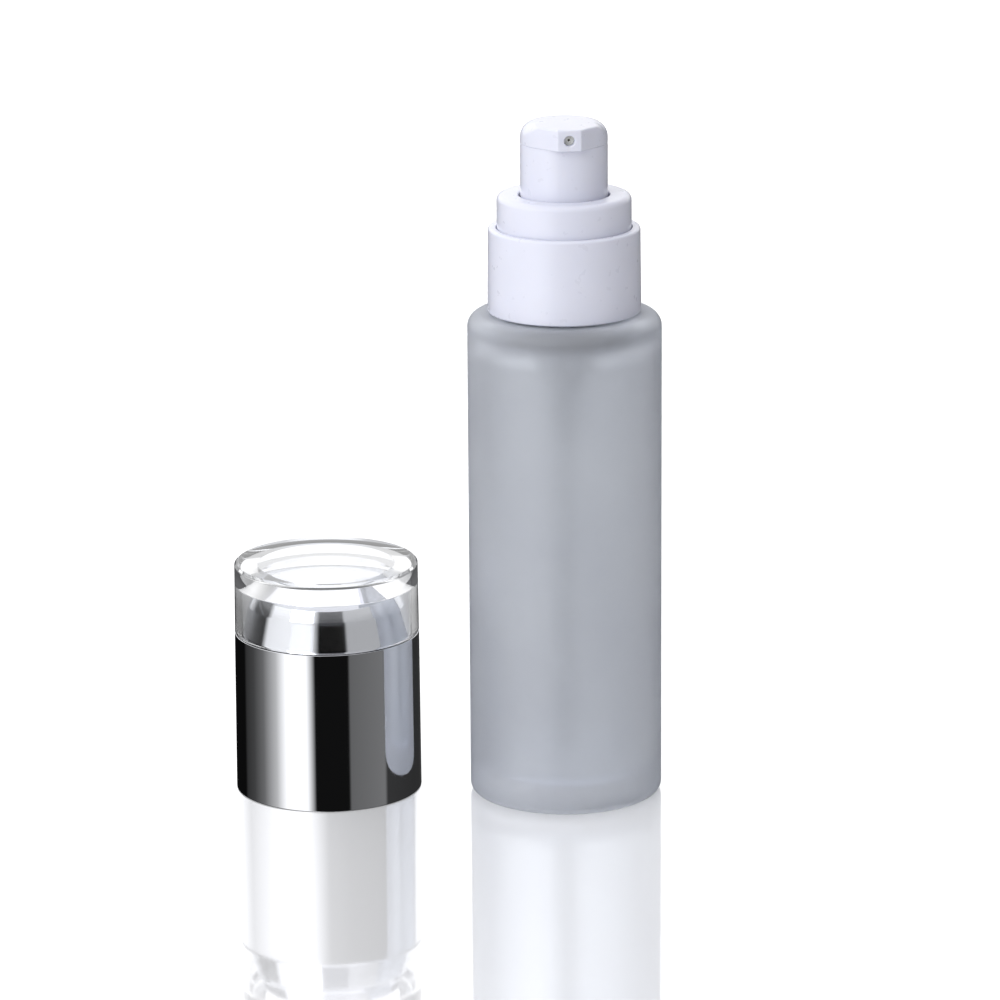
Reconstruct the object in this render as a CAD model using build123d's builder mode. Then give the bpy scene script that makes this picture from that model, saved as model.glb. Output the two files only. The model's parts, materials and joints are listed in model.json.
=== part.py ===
from build123d import *
import os

# Foundation bottle: a frosted glass bottle with a white treatment pump, and its
# two-layer cap standing beside it. Millimetres, +Z up, nozzle towards -Y, origin at
# the centre of the bottle's base.

os.makedirs("parts", exist_ok=True)

# ---------------------------------------------------------------- driving dimensions
# Bottle
bottle_radius = 15.5
shoulder_height = 79.4          # top of the glass shoulder above the table
wall_thickness = 3.0
floor_thickness = 3.8
heel_radius = 1.4
shoulder_radius = 2.2
inner_floor_radius = 2.5
shoulder_thickness = 3.0
inner_shoulder_radius = 4.0
push_up_depth = 0.8
bearing_ring_width = 2.6
bearing_ring_radius = 0.5       # rounding on the inside of the bearing ring

# Neck finish and its thread
neck_radius = 8.75
neck_bore_radius = 6.6
neck_length = 9.8
neck_root_radius = 0.6
neck_throat_radius = 1.2
lip_radius = 0.4
thread_pitch = 3.175
thread_turns = 1.25
thread_depth = 1.0
thread_rise = 4.0               # first turn's centre above the shoulder
thread_root_width = 1.5
thread_crest_width = 0.8
thread_sink = 0.3               # how far a thread's root is buried in its wall

# Closure: threaded inner ring, white collar and shroud
ring_wall = 1.05
ring_bottom_gap = 1.0           # inner ring's lower edge above the shoulder
ring_top_thickness = 1.3
thread_clearance = 0.3
ridge_root_width = 1.1
ridge_crest_width = 0.6
collar_gap = 0.34               # collar's lower edge above the shoulder
collar_wall = 0.94              # at the top
collar_draft = 0.14             # how much wider the collar is at its foot
collar_ledge = 1.24             # flat ring on top of the collar
collar_top_thickness = 1.05
collar_edge_radius = 0.45
shroud_height = 6.35
shroud_wall = 1.1
shroud_top_thickness = 1.2
shroud_edge_radius = 1.0
well_wall = 0.95
well_floor_gap = 1.15           # lower edge of the guide well above the shroud's foot
well_clearance = 0.32           # gap round the actuator
groove_width = 0.15             # groove between collar and shroud
fit_gap = 0.05                  # small gap between pieces that snap together

# Pump
stroke = 5.0
gasket_thickness = 0.7
flange_radius = 8.6
flange_thickness = 1.0
plug_clearance = 0.15           # pump body in the bottle's neck
plug_length = 2.0
barrel_radius = 3.9
barrel_wall = 1.0
guide_bore_radius = 5.0
guide_wall = 0.7
guide_tube_height = 2.7
guide_ledge_depth = 0.7         # guide bore's floor below the flange's upper face
vent_radius = 0.4
vent_drop = 1.0                 # vent below the top of the resting piston
lip_bore_radius = 1.3           # lip that traps the ball and carries the spring
lip_thickness = 0.8
cage_radius = 2.2
cage_height = 2.7
cage_wall = 1.1
seat_bore_radius = 0.9
seat_bore_length = 0.5
nose_wall = 1.08
nose_length = 6.3
ball_radius = 1.5
ball_clearance = 0.04
tube_radius = 1.5
tube_bore_radius = 0.95
tube_socket_gap = 0.02
tube_floor_gap = 1.2            # dip tube's tip above the bottle's inner floor

# Stem, valve and piston
stem_radius = 2.0
stem_bore_radius = 1.1
stem_drop = 5.65                # stem's upper end below the actuator's top
port_radius = 0.4
port_height = 1.1
valve_flange_radius = 3.3
valve_flange_thickness = 0.9
valve_boss_radius = 2.2
valve_boss_length = 1.6
valve_spigot_gap = 0.03
valve_spigot_length = 0.6
running_gap = 0.05
piston_length = 5.55
piston_recess_radius = 2.9
piston_recess_depth = 2.0
piston_waist_depth = 0.45
piston_lip_length = 1.25
guide_tail_gap = 0.8            # stem guide's tail above the piston at rest
guide_tail_length = 1.9
guide_tail_clearance = 0.2
guide_stem_gap = 0.3
guide_flange_thickness = 0.8
spring_pressed_height = 4.8     # at the end of the stroke
spring_radius = 2.9
spring_wire_radius = 0.3
spring_turns = 6

# Actuator and nozzle
actuator_radius = 6.93
actuator_height = 12.7
actuator_wall = 0.98
actuator_floor_gap = 0.35       # skirt above the inner ring at the end of the stroke
actuator_edge_radius = 2.5
crown_thickness = 3.4           # solid top above the actuator's hollow
block_reach = 7.95              # nozzle's front flat from the axis
block_edge_radius = 0.35
boss_radius = 3.4
boss_clearance = 0.5            # boss above the stem guide at the end of the stroke
riser_radius = 0.9
outlet_drop = 1.75              # outlet's axis below the top
outlet_radius = 0.6
insert_radius = 0.83
insert_length = 2.6
insert_recess = 1.0
orifice_radius = 0.18
dish_width = 9.8
dish_length = 6.2
dish_depth = 0.55
dish_shift = 1.1                # towards the back, away from the nozzle

# Cap, standing on its rim beside the bottle
cap_x = -38.2
cap_y = 6.5
liner_recess = 0.4              # liner's foot above the sleeve's rim
liner_wall = 0.8
liner_grip_gap = 0.05           # between the ribs and the collar
liner_upper_gap = 0.9           # round the shroud
liner_step_room = 0.7           # step above the collar
liner_headroom = 0.65           # above the actuator
liner_cone_height = 6.6
liner_cone_draft = 1.8
liner_roof_thickness = 1.0
liner_foot_height = 1.0
rib_count = 8
rib_radius = 0.5
rib_reach = 0.22
rib_low = 3.0
rib_length = 10.0
sleeve_wall = 0.5
sleeve_room = 1.28              # between liner and sleeve
sleeve_draft = 0.13
dome_ledge = 1.2                # sleeve's flat ledge, which carries the crown
dome_shoulder_inset = 1.1
dome_top_inset = 2.75
dome_gap = 1.0                  # between the liner's roof and the mirror top
dome_bevel_height = 3.4
crown_height = 11.6             # of the clear part, from the ledge up
crown_air = 1.9                 # between the mirror top and the clear plate
crown_plate = 1.5
crown_inset = 0.03
crown_draft = 0.09
crown_bevel = 0.35
crown_bore_gap = 0.1
crown_bore_height = 7.85
crown_roof_inset = 2.75

# ---------------------------------------------------------------- derived sizes
lip_height = shoulder_height + neck_length
flange_low = lip_height + gasket_thickness
flange_high = flange_low + flange_thickness
ring_top = flange_high + ring_top_thickness
ring_inner_radius = neck_radius + thread_depth + thread_clearance
ring_radius = ring_inner_radius + ring_wall
collar_top_radius = ring_radius + fit_gap + collar_wall
collar_bottom_radius = collar_top_radius + collar_draft
collar_hole_radius = collar_top_radius - collar_ledge
collar_top = ring_top + fit_gap + collar_top_thickness
shroud_radius = collar_hole_radius - groove_width
shroud_low = ring_top + fit_gap
shroud_top = shroud_low + shroud_height

# the pump's inside is set out from the stem guide down
guide_floor = flange_high - guide_ledge_depth
guide_tail_low = guide_floor - guide_tail_length
piston_top = guide_tail_low - guide_tail_gap
piston_low = piston_top - piston_length
valve_high = piston_low - running_gap
valve_low = valve_high - valve_flange_thickness
spring_height = spring_pressed_height + stroke
spring_ledge = valve_low - spring_height
cage_top = spring_ledge - lip_thickness
cage_low = cage_top - cage_height
seat_top = cage_low - (cage_radius - seat_bore_radius)
tube_top = seat_top - seat_bore_length

actuator_low = ring_top + actuator_floor_gap + stroke
actuator_top = actuator_low + actuator_height
stem_top = actuator_top - stem_drop
outlet_height = actuator_top - outlet_drop

# the cap is sized to go over the pump, and stands with its rim on the table
liner_radius = collar_bottom_radius + liner_grip_gap + rib_reach
liner_upper_radius = shroud_radius + liner_upper_gap
liner_roof_radius = liner_upper_radius - liner_cone_draft
liner_step_height = collar_top - shoulder_height + liner_recess + liner_step_room
liner_inner_height = actuator_top - shoulder_height + liner_recess + liner_headroom
liner_roof = liner_inner_height + liner_roof_thickness
sleeve_rim_radius = liner_radius + liner_wall + sleeve_room + sleeve_wall
sleeve_top_radius = sleeve_rim_radius - sleeve_draft
dome_foot_radius = sleeve_top_radius - dome_ledge
dome_shoulder_radius = dome_foot_radius - dome_shoulder_inset
dome_top_radius = dome_foot_radius - dome_top_inset
dome_height = liner_roof + dome_gap + sleeve_wall
dome_shoulder_height = dome_height - dome_bevel_height
cap_height = dome_height + crown_air + crown_plate
sleeve_height = cap_height - crown_height
crown_foot_radius = sleeve_top_radius - crown_inset
crown_top_radius = crown_foot_radius - crown_draft
crown_bore_radius = dome_foot_radius + crown_bore_gap
cap_axis = Axis((cap_x, cap_y, 0), (0, 0, 1))
cap_section_plane = Plane(origin=(cap_x, cap_y, 0), x_dir=(1, 0, 0), z_dir=(0, -1, 0))


def corner(sketch, radius, height):
    """The corner of a section that lies nearest to a radius and a height."""
    return sketch.vertices().sort_by_distance((radius, height, 0))[0]


# ---------------------------------------------------------------- glass bottle
with BuildPart() as bottle:
    bottle_inner_radius = bottle_radius - wall_thickness
    bottle_roof = shoulder_height - shoulder_thickness
    ring_inside = bottle_radius - heel_radius - bearing_ring_width
    with BuildSketch(Plane.XZ) as bottle_section:
        with BuildLine():
            Polyline(
                (0, push_up_depth),
                (ring_inside - 2 * push_up_depth, push_up_depth),
                (ring_inside, 0),
                (bottle_radius, 0),
                (bottle_radius, shoulder_height),
                (neck_radius, shoulder_height),
                (neck_radius, lip_height),
                (neck_bore_radius, lip_height),
                (neck_bore_radius, bottle_roof),
                (bottle_inner_radius, bottle_roof),
                (bottle_inner_radius, floor_thickness),
                (0, floor_thickness),
                close=True,
            )
        make_face()
        fillet(corner(bottle_section, ring_inside, 0), bearing_ring_radius)
        fillet(corner(bottle_section, bottle_radius, 0), heel_radius)
        fillet(corner(bottle_section, bottle_radius, shoulder_height), shoulder_radius)
        fillet(corner(bottle_section, neck_radius, shoulder_height), neck_root_radius)
        fillet(corner(bottle_section, neck_radius, lip_height), lip_radius)
        fillet(corner(bottle_section, neck_bore_radius, lip_height), lip_radius)
        fillet(corner(bottle_section, neck_bore_radius, bottle_roof), neck_throat_radius)
        fillet(corner(bottle_section, bottle_inner_radius, bottle_roof), inner_shoulder_radius)
        fillet(corner(bottle_section, bottle_inner_radius, floor_thickness), inner_floor_radius)
    revolve(axis=Axis.Z)

    thread_low = shoulder_height + thread_rise
    with BuildLine() as thread_path:
        Helix(
            pitch=thread_pitch,
            height=thread_pitch * thread_turns,
            radius=neck_radius,
            center=(0, 0, thread_low),
        )
    thread_start = Plane(origin=thread_path.line @ 0, x_dir=(1, 0, 0), z_dir=thread_path.line % 0)
    with BuildSketch(thread_start):
        with BuildLine():
            Polyline(
                (-thread_sink, -thread_root_width / 2),
                (thread_depth, -thread_crest_width / 2),
                (thread_depth, thread_crest_width / 2),
                (-thread_sink, thread_root_width / 2),
                close=True,
            )
        make_face()
    sweep(path=thread_path.line, is_frenet=True)
bottle.part.label = "bottle"

# ---------------------------------------------------------------- gasket
with BuildPart() as gasket:
    with BuildSketch(Plane.XY.offset(lip_height)):
        Circle(flange_radius)
        Circle(neck_bore_radius, mode=Mode.SUBTRACT)
    extrude(amount=gasket_thickness)
gasket.part.label = "gasket"

# ---------------------------------------------------------------- pump body
with BuildPart() as housing:
    barrel_outer_radius = barrel_radius + barrel_wall
    plug_radius = neck_bore_radius - plug_clearance
    cage_outer_radius = cage_radius + cage_wall
    socket_radius = tube_radius + tube_socket_gap
    nose_radius = socket_radius + nose_wall
    nose_low = tube_top - nose_length
    guide_top = flange_high + guide_tube_height
    guide_tube_radius = guide_bore_radius + guide_wall
    with BuildSketch(Plane.XZ) as housing_section:
        with BuildLine():
            Polyline(
                (socket_radius, nose_low),
                (nose_radius, nose_low),
                (nose_radius, seat_top - lip_thickness),
                (cage_outer_radius, seat_top),
                (cage_outer_radius, cage_top - lip_thickness),
                (barrel_outer_radius, cage_top),
                (barrel_outer_radius, flange_low - plug_length),
                (plug_radius, flange_low - plug_length),
                (plug_radius, flange_low),
                (flange_radius, flange_low),
                (flange_radius, flange_high),
                (guide_tube_radius, flange_high),
                (guide_tube_radius, guide_top),
                (guide_bore_radius, guide_top),
                (guide_bore_radius, guide_floor),
                (barrel_radius, guide_floor),
                (barrel_radius, spring_ledge),
                (lip_bore_radius, spring_ledge),
                (lip_bore_radius, cage_top),
                (cage_radius, cage_top),
                (cage_radius, cage_low),
                (seat_bore_radius, seat_top),
                (seat_bore_radius, tube_top),
                (socket_radius, tube_top),
                close=True,
            )
        make_face()
    revolve(axis=Axis.Z)
    with BuildSketch(Plane.YZ.offset(barrel_radius - running_gap)):
        with Locations((0, piston_top - vent_drop)):
            Circle(vent_radius)
    extrude(amount=barrel_wall + 2 * running_gap, mode=Mode.SUBTRACT)
housing.part.label = "housing"

# ---------------------------------------------------------------- stem guide
with BuildPart() as stem_guide:
    guide_hole_radius = stem_radius + guide_stem_gap
    guide_tail_radius = barrel_radius - guide_tail_clearance
    with BuildSketch(Plane.XZ):
        with BuildLine():
            Polyline(
                (guide_hole_radius, guide_tail_low),
                (guide_tail_radius, guide_tail_low),
                (guide_tail_radius, guide_floor),
                (guide_bore_radius - fit_gap, guide_floor),
                (guide_bore_radius - fit_gap, guide_top),
                (guide_tube_radius, guide_top),
                (guide_tube_radius, guide_top + guide_flange_thickness),
                (guide_hole_radius, guide_top + guide_flange_thickness),
                close=True,
            )
        make_face()
    revolve(axis=Axis.Z)
stem_guide.part.label = "stem_guide"

# ---------------------------------------------------------------- dip tube
with BuildPart() as dip_tube:
    tube_low = floor_thickness + tube_floor_gap
    with BuildSketch(Plane.XY.offset(tube_low)):
        Circle(tube_radius)
        Circle(tube_bore_radius, mode=Mode.SUBTRACT)
    extrude(amount=tube_top - tube_low)
    # the tip is cut at a slant so that it can't seal against the floor
    slant_cut = Plane(origin=(0, 0, tube_low + tube_radius), z_dir=(0, 1, 1))
    split(bisect_by=slant_cut, keep=Keep.TOP)
dip_tube.part.label = "dip_tube"

# ---------------------------------------------------------------- inlet ball
with BuildPart() as inlet_ball:
    seat_apex = seat_top - seat_bore_radius
    ball_centre = seat_apex + ball_radius * 2**0.5 + ball_clearance
    with Locations((0, 0, ball_centre)):
        Sphere(ball_radius)
inlet_ball.part.label = "inlet_ball"

# ---------------------------------------------------------------- return spring
with BuildPart() as spring:
    coil_height = spring_height - 2 * spring_wire_radius
    with BuildLine() as coil_path:
        Helix(
            pitch=coil_height / spring_turns,
            height=coil_height,
            radius=spring_radius,
            center=(0, 0, spring_ledge + spring_wire_radius),
        )
    with BuildSketch(Plane(origin=coil_path.line @ 0, x_dir=(1, 0, 0), z_dir=coil_path.line % 0)):
        Circle(spring_wire_radius)
    sweep(path=coil_path.line, is_frenet=True)
spring.part.label = "spring"

# ---------------------------------------------------------------- valve pin
with BuildPart() as valve_pin:
    spigot_radius = stem_bore_radius - valve_spigot_gap
    boss_low = valve_low - valve_boss_length
    with BuildSketch(Plane.XZ):
        with BuildLine():
            Polyline(
                (0, boss_low),
                (valve_boss_radius / 2, boss_low),
                (valve_boss_radius, boss_low + valve_boss_length / 2),
                (valve_boss_radius, valve_low),
                (valve_flange_radius, valve_low),
                (valve_flange_radius, valve_high),
                (spigot_radius, valve_high),
                (spigot_radius, valve_high + valve_spigot_length),
                (0, valve_high + valve_spigot_length),
                close=True,
            )
        make_face()
    revolve(axis=Axis.Z)
valve_pin.part.label = "valve_pin"

# ---------------------------------------------------------------- piston
with BuildPart() as piston:
    piston_radius = barrel_radius - running_gap
    piston_bore_radius = stem_radius + running_gap
    waist_radius = piston_radius - piston_waist_depth
    with BuildSketch(Plane.XZ):
        with BuildLine():
            Polyline(
                (piston_recess_radius, piston_low),
                (piston_radius, piston_low),
                (piston_radius, piston_low + piston_lip_length),
                (waist_radius, piston_low + piston_lip_length + piston_waist_depth),
                (waist_radius, piston_top - piston_lip_length - piston_waist_depth),
                (piston_radius, piston_top - piston_lip_length),
                (piston_radius, piston_top),
                (piston_bore_radius, piston_top),
                (piston_bore_radius, piston_low + piston_recess_depth),
                (piston_recess_radius, piston_low + piston_recess_depth),
                close=True,
            )
        make_face()
    revolve(axis=Axis.Z)
piston.part.label = "piston"

# ---------------------------------------------------------------- hollow stem
with BuildPart() as stem:
    with BuildSketch(Plane.XY.offset(valve_high)):
        Circle(stem_radius)
        Circle(stem_bore_radius, mode=Mode.SUBTRACT)
    extrude(amount=stem_top - valve_high)
    # two inlet ports, one each side, just above the valve flange
    with BuildSketch(Plane.YZ):
        with Locations((0, valve_high + port_height)):
            Circle(port_radius)
    extrude(amount=stem_radius + running_gap, both=True, mode=Mode.SUBTRACT)
stem.part.label = "stem"

# ---------------------------------------------------------------- actuator
with BuildPart() as actuator:
    hollow_radius = actuator_radius - actuator_wall
    hollow_top = actuator_top - crown_thickness
    boss_end = guide_top + guide_flange_thickness + stroke + boss_clearance
    with BuildSketch(Plane.XZ) as actuator_section:
        with BuildLine():
            Polyline(
                (hollow_radius, actuator_low),
                (actuator_radius, actuator_low),
                (actuator_radius, actuator_top),
                (0, actuator_top),
                (0, stem_top),
                (stem_radius + valve_spigot_gap, stem_top),
                (stem_radius + valve_spigot_gap, boss_end),
                (boss_radius, boss_end),
                (boss_radius, hollow_top),
                (hollow_radius, hollow_top),
                close=True,
            )
        make_face()
        fillet(corner(actuator_section, actuator_radius, actuator_top), actuator_edge_radius)
    revolve(axis=Axis.Z)

    # nozzle block: a narrow front flat between two facets that leave the round wall
    tangent_reach = actuator_radius / 2**0.5
    block_half_width = actuator_radius * 2**0.5 - block_reach
    with BuildSketch(Plane.XY.offset(hollow_top)) as block_outline:
        with BuildLine():
            Polyline(
                (0, 0),
                (-tangent_reach, -tangent_reach),
                (-block_half_width, -block_reach),
                (block_half_width, -block_reach),
                (tangent_reach, -tangent_reach),
                close=True,
            )
        make_face()
    extrude(amount=crown_thickness)
    front_edges = actuator.edges().filter_by(
        lambda edge: edge.center().Y < -actuator_radius / 2**0.5
        and edge.center().Z > hollow_top + block_edge_radius
        and edge.geom_type == GeomType.LINE
    )
    fillet(front_edges, block_edge_radius)

    # finger dish: a barrel-shaped cutter gives it an oval rim
    dish_cross_curve = dish_width**2 / (8 * dish_depth)
    dish_long_curve = dish_length**2 / (8 * dish_depth)
    with Locations((0, dish_shift, actuator_top - dish_depth + dish_cross_curve)):
        Torus(
            dish_cross_curve - dish_long_curve,
            dish_long_curve,
            rotation=(90, 0, 0),
            mode=Mode.SUBTRACT,
        )

    # riser from the stem, outlet towards the nozzle, and the insert's pocket
    with BuildSketch(Plane.XY.offset(stem_top)):
        Circle(riser_radius)
    extrude(amount=outlet_height - stem_top, mode=Mode.SUBTRACT)
    with BuildSketch(Plane.XZ):
        with Locations((0, outlet_height)):
            Circle(outlet_radius)
    extrude(amount=block_reach, mode=Mode.SUBTRACT)
    with BuildSketch(Plane.XZ.offset(block_reach)):
        with Locations((0, outlet_height)):
            Circle(insert_radius)
    extrude(amount=-(insert_length + insert_recess), mode=Mode.SUBTRACT)
actuator.part.label = "actuator"

# ---------------------------------------------------------------- nozzle insert
with BuildPart() as nozzle_insert:
    with BuildSketch(Plane.XZ.offset(block_reach - insert_recess)):
        with Locations((0, outlet_height)):
            Circle(insert_radius)
            Circle(orifice_radius, mode=Mode.SUBTRACT)
    extrude(amount=-insert_length)
nozzle_insert.part.label = "nozzle_insert"

# ---------------------------------------------------------------- threaded inner ring
with BuildPart() as inner_ring:
    ring_low = shoulder_height + ring_bottom_gap
    ring_hole_radius = guide_tube_radius + well_clearance / 2
    with BuildSketch(Plane.XZ):
        with BuildLine():
            Polyline(
                (ring_inner_radius, ring_low),
                (ring_radius, ring_low),
                (ring_radius, ring_top),
                (ring_hole_radius, ring_top),
                (ring_hole_radius, flange_high),
                (ring_inner_radius, flange_high),
                close=True,
            )
        make_face()
    revolve(axis=Axis.Z)

    # its thread runs half a pitch below the bottle's own
    with BuildLine() as ridge_path:
        Helix(
            pitch=thread_pitch,
            height=thread_pitch * thread_turns,
            radius=ring_inner_radius,
            center=(0, 0, thread_low - thread_pitch / 2),
        )
    ridge_depth = thread_depth - thread_clearance / 3
    with BuildSketch(Plane(origin=ridge_path.line @ 0, x_dir=(1, 0, 0), z_dir=ridge_path.line % 0)):
        with BuildLine():
            Polyline(
                (thread_sink, -ridge_root_width / 2),
                (-ridge_depth, -ridge_crest_width / 2),
                (-ridge_depth, ridge_crest_width / 2),
                (thread_sink, ridge_root_width / 2),
                close=True,
            )
        make_face()
    sweep(path=ridge_path.line, is_frenet=True)
inner_ring.part.label = "inner_ring"

# ---------------------------------------------------------------- collar
with BuildPart() as collar:
    collar_low = shoulder_height + collar_gap
    collar_bore_radius = ring_radius + fit_gap
    with BuildSketch(Plane.XZ) as collar_section:
        with BuildLine():
            Polyline(
                (collar_bore_radius, collar_low),
                (collar_bottom_radius, collar_low),
                (collar_top_radius, collar_top),
                (collar_hole_radius, collar_top),
                (collar_hole_radius, ring_top + fit_gap),
                (collar_bore_radius, ring_top + fit_gap),
                close=True,
            )
        make_face()
        fillet(corner(collar_section, collar_top_radius, collar_top), collar_edge_radius)
    revolve(axis=Axis.Z)
collar.part.label = "collar"

# ---------------------------------------------------------------- shroud
with BuildPart() as shroud:
    shroud_bore_radius = shroud_radius - shroud_wall
    well_radius = actuator_radius + well_clearance
    well_outer_radius = well_radius + well_wall
    shroud_roof = shroud_top - shroud_top_thickness
    with BuildSketch(Plane.XZ) as shroud_section:
        with BuildLine():
            Polyline(
                (shroud_bore_radius, shroud_low),
                (shroud_radius, shroud_low),
                (shroud_radius, shroud_top),
                (well_radius, shroud_top),
                (well_radius, shroud_low + well_floor_gap),
                (well_outer_radius, shroud_low + well_floor_gap),
                (well_outer_radius, shroud_roof),
                (shroud_bore_radius, shroud_roof),
                close=True,
            )
        make_face()
        fillet(corner(shroud_section, shroud_radius, shroud_top), shroud_edge_radius)
        fillet(corner(shroud_section, well_radius, shroud_top), well_clearance)
    revolve(axis=Axis.Z)
shroud.part.label = "shroud"

# ---------------------------------------------------------------- cap: mirror sleeve
with BuildPart() as cap_sleeve:
    sleeve_ledge = sleeve_height - sleeve_wall
    with BuildSketch(cap_section_plane):
        with BuildLine():
            Polyline(
                (sleeve_rim_radius - sleeve_wall, 0),
                (sleeve_rim_radius, 0),
                (sleeve_top_radius, sleeve_height),
                (dome_foot_radius, sleeve_height),
                (dome_shoulder_radius, dome_shoulder_height),
                (dome_top_radius, dome_height),
                (0, dome_height),
                (0, dome_height - sleeve_wall),
                (dome_top_radius - sleeve_wall, dome_height - sleeve_wall),
                (dome_shoulder_radius - sleeve_wall, dome_shoulder_height),
                (dome_foot_radius - sleeve_wall, sleeve_ledge),
                (sleeve_top_radius - sleeve_wall, sleeve_ledge),
                close=True,
            )
        make_face()
    revolve(axis=cap_axis)
cap_sleeve.part.label = "cap_sleeve"

# ---------------------------------------------------------------- cap: clear crown
with BuildPart() as cap_crown:
    crown_low = sleeve_height + fit_gap
    crown_roof = cap_height - crown_plate
    with BuildSketch(cap_section_plane) as crown_section:
        with BuildLine():
            Polyline(
                (crown_bore_radius, crown_low),
                (crown_foot_radius, crown_low),
                (crown_top_radius, cap_height),
                (0, cap_height),
                (0, crown_roof),
                (crown_bore_radius - crown_roof_inset, crown_roof),
                (crown_bore_radius, crown_low + crown_bore_height),
                close=True,
            )
        make_face()
        chamfer(corner(crown_section, crown_top_radius, cap_height), crown_bevel)
    revolve(axis=cap_axis)
cap_crown.part.label = "cap_crown"

# ---------------------------------------------------------------- cap: inner liner
with BuildPart() as cap_liner:
    foot_radius = sleeve_rim_radius - sleeve_wall - 2 * fit_gap
    liner_upper_end = liner_inner_height - liner_cone_height
    step_end = liner_step_height + liner_radius - liner_upper_radius
    with BuildSketch(cap_section_plane):
        with BuildLine():
            Polyline(
                (liner_radius, liner_recess),
                (foot_radius, liner_recess),
                (foot_radius, liner_recess + liner_foot_height),
                (liner_radius + liner_wall, liner_recess + liner_foot_height),
                (liner_radius + liner_wall, liner_step_height),
                (liner_upper_radius + liner_wall, step_end),
                (liner_upper_radius + liner_wall, liner_upper_end),
                (liner_roof_radius + liner_wall, liner_roof),
                (0, liner_roof),
                (0, liner_inner_height),
                (liner_roof_radius, liner_inner_height),
                (liner_upper_radius, liner_upper_end),
                (liner_upper_radius, step_end),
                (liner_radius, liner_step_height),
                close=True,
            )
        make_face()
    revolve(axis=cap_axis)
    # upright ribs that grip the collar
    with Locations((cap_x, cap_y, rib_low)):
        with PolarLocations(liner_radius - rib_reach + rib_radius, rib_count):
            Cylinder(rib_radius, rib_length, align=(Align.CENTER, Align.CENTER, Align.MIN))
cap_liner.part.label = "cap_liner"

export_step(bottle.part, "parts/bottle.step")
export_step(gasket.part, "parts/gasket.step")
export_step(housing.part, "parts/housing.step")
export_step(stem_guide.part, "parts/stem_guide.step")
export_step(dip_tube.part, "parts/dip_tube.step")
export_step(inlet_ball.part, "parts/inlet_ball.step")
export_step(spring.part, "parts/spring.step")
export_step(valve_pin.part, "parts/valve_pin.step")
export_step(piston.part, "parts/piston.step")
export_step(stem.part, "parts/stem.step")
export_step(actuator.part, "parts/actuator.step")
export_step(nozzle_insert.part, "parts/nozzle_insert.step")
export_step(inner_ring.part, "parts/inner_ring.step")
export_step(collar.part, "parts/collar.step")
export_step(shroud.part, "parts/shroud.step")
export_step(cap_sleeve.part, "parts/cap_sleeve.step")
export_step(cap_crown.part, "parts/cap_crown.step")
export_step(cap_liner.part, "parts/cap_liner.step")
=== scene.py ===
"""Foundation bottle: a frosted glass pump bottle and its two-layer cap.

Laid out as an add-on: one operator for each piece or group of like pieces, one for the
stage, and a panel that lists them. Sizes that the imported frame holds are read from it.
"""

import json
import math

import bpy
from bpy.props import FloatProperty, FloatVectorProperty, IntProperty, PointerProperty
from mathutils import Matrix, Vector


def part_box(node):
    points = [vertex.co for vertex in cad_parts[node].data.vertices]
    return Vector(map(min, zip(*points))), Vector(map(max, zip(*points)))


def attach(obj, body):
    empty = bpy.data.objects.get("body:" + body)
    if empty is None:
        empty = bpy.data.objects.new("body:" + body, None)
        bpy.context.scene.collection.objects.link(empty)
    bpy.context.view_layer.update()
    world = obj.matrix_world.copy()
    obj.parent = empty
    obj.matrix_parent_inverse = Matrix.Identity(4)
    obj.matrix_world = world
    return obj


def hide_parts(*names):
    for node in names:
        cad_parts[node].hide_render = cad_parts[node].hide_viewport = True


bl_info = {
    "name": "Foundation Bottle",
    "version": (1, 0, 0),
    "blender": (4, 5, 0),
    "location": "View3D > Sidebar > Foundation Bottle",
    "description": "Models a frosted pump bottle and its cap round a packed frame",
    "category": "Add Mesh",
}

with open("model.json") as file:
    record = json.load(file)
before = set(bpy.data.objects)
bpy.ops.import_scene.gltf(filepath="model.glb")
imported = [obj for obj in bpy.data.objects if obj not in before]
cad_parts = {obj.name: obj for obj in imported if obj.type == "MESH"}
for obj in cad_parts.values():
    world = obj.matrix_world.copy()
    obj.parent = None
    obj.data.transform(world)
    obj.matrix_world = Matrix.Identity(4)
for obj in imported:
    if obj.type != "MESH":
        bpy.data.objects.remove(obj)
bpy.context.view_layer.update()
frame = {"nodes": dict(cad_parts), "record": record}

MM = 0.001


# ------------------------------------------------------------------ reading the frame
def foot(node):
    """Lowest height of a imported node."""
    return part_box(node)[0].z


def top(node):
    """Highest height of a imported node."""
    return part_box(node)[1].z


def radius(node):
    """Outside radius of a round upright node."""
    low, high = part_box(node)
    return (high.x - low.x) / 2


def axis_of(node):
    """Where a round upright node's axis stands, as (x, y)."""
    low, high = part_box(node)
    return ((low.x + high.x) / 2, (low.y + high.y) / 2)


# ------------------------------------------------------------------ settings
def length(name, description, millimetres):
    """A length property with its default in millimetres."""
    return FloatProperty(name=name, description=description, default=millimetres * MM, unit="LENGTH")


def colour(name, description, default):
    """A linear colour property."""
    return FloatVectorProperty(
        name=name, description=description, default=default, size=3, subtype="COLOR", min=0.0, max=1.0
    )


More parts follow.
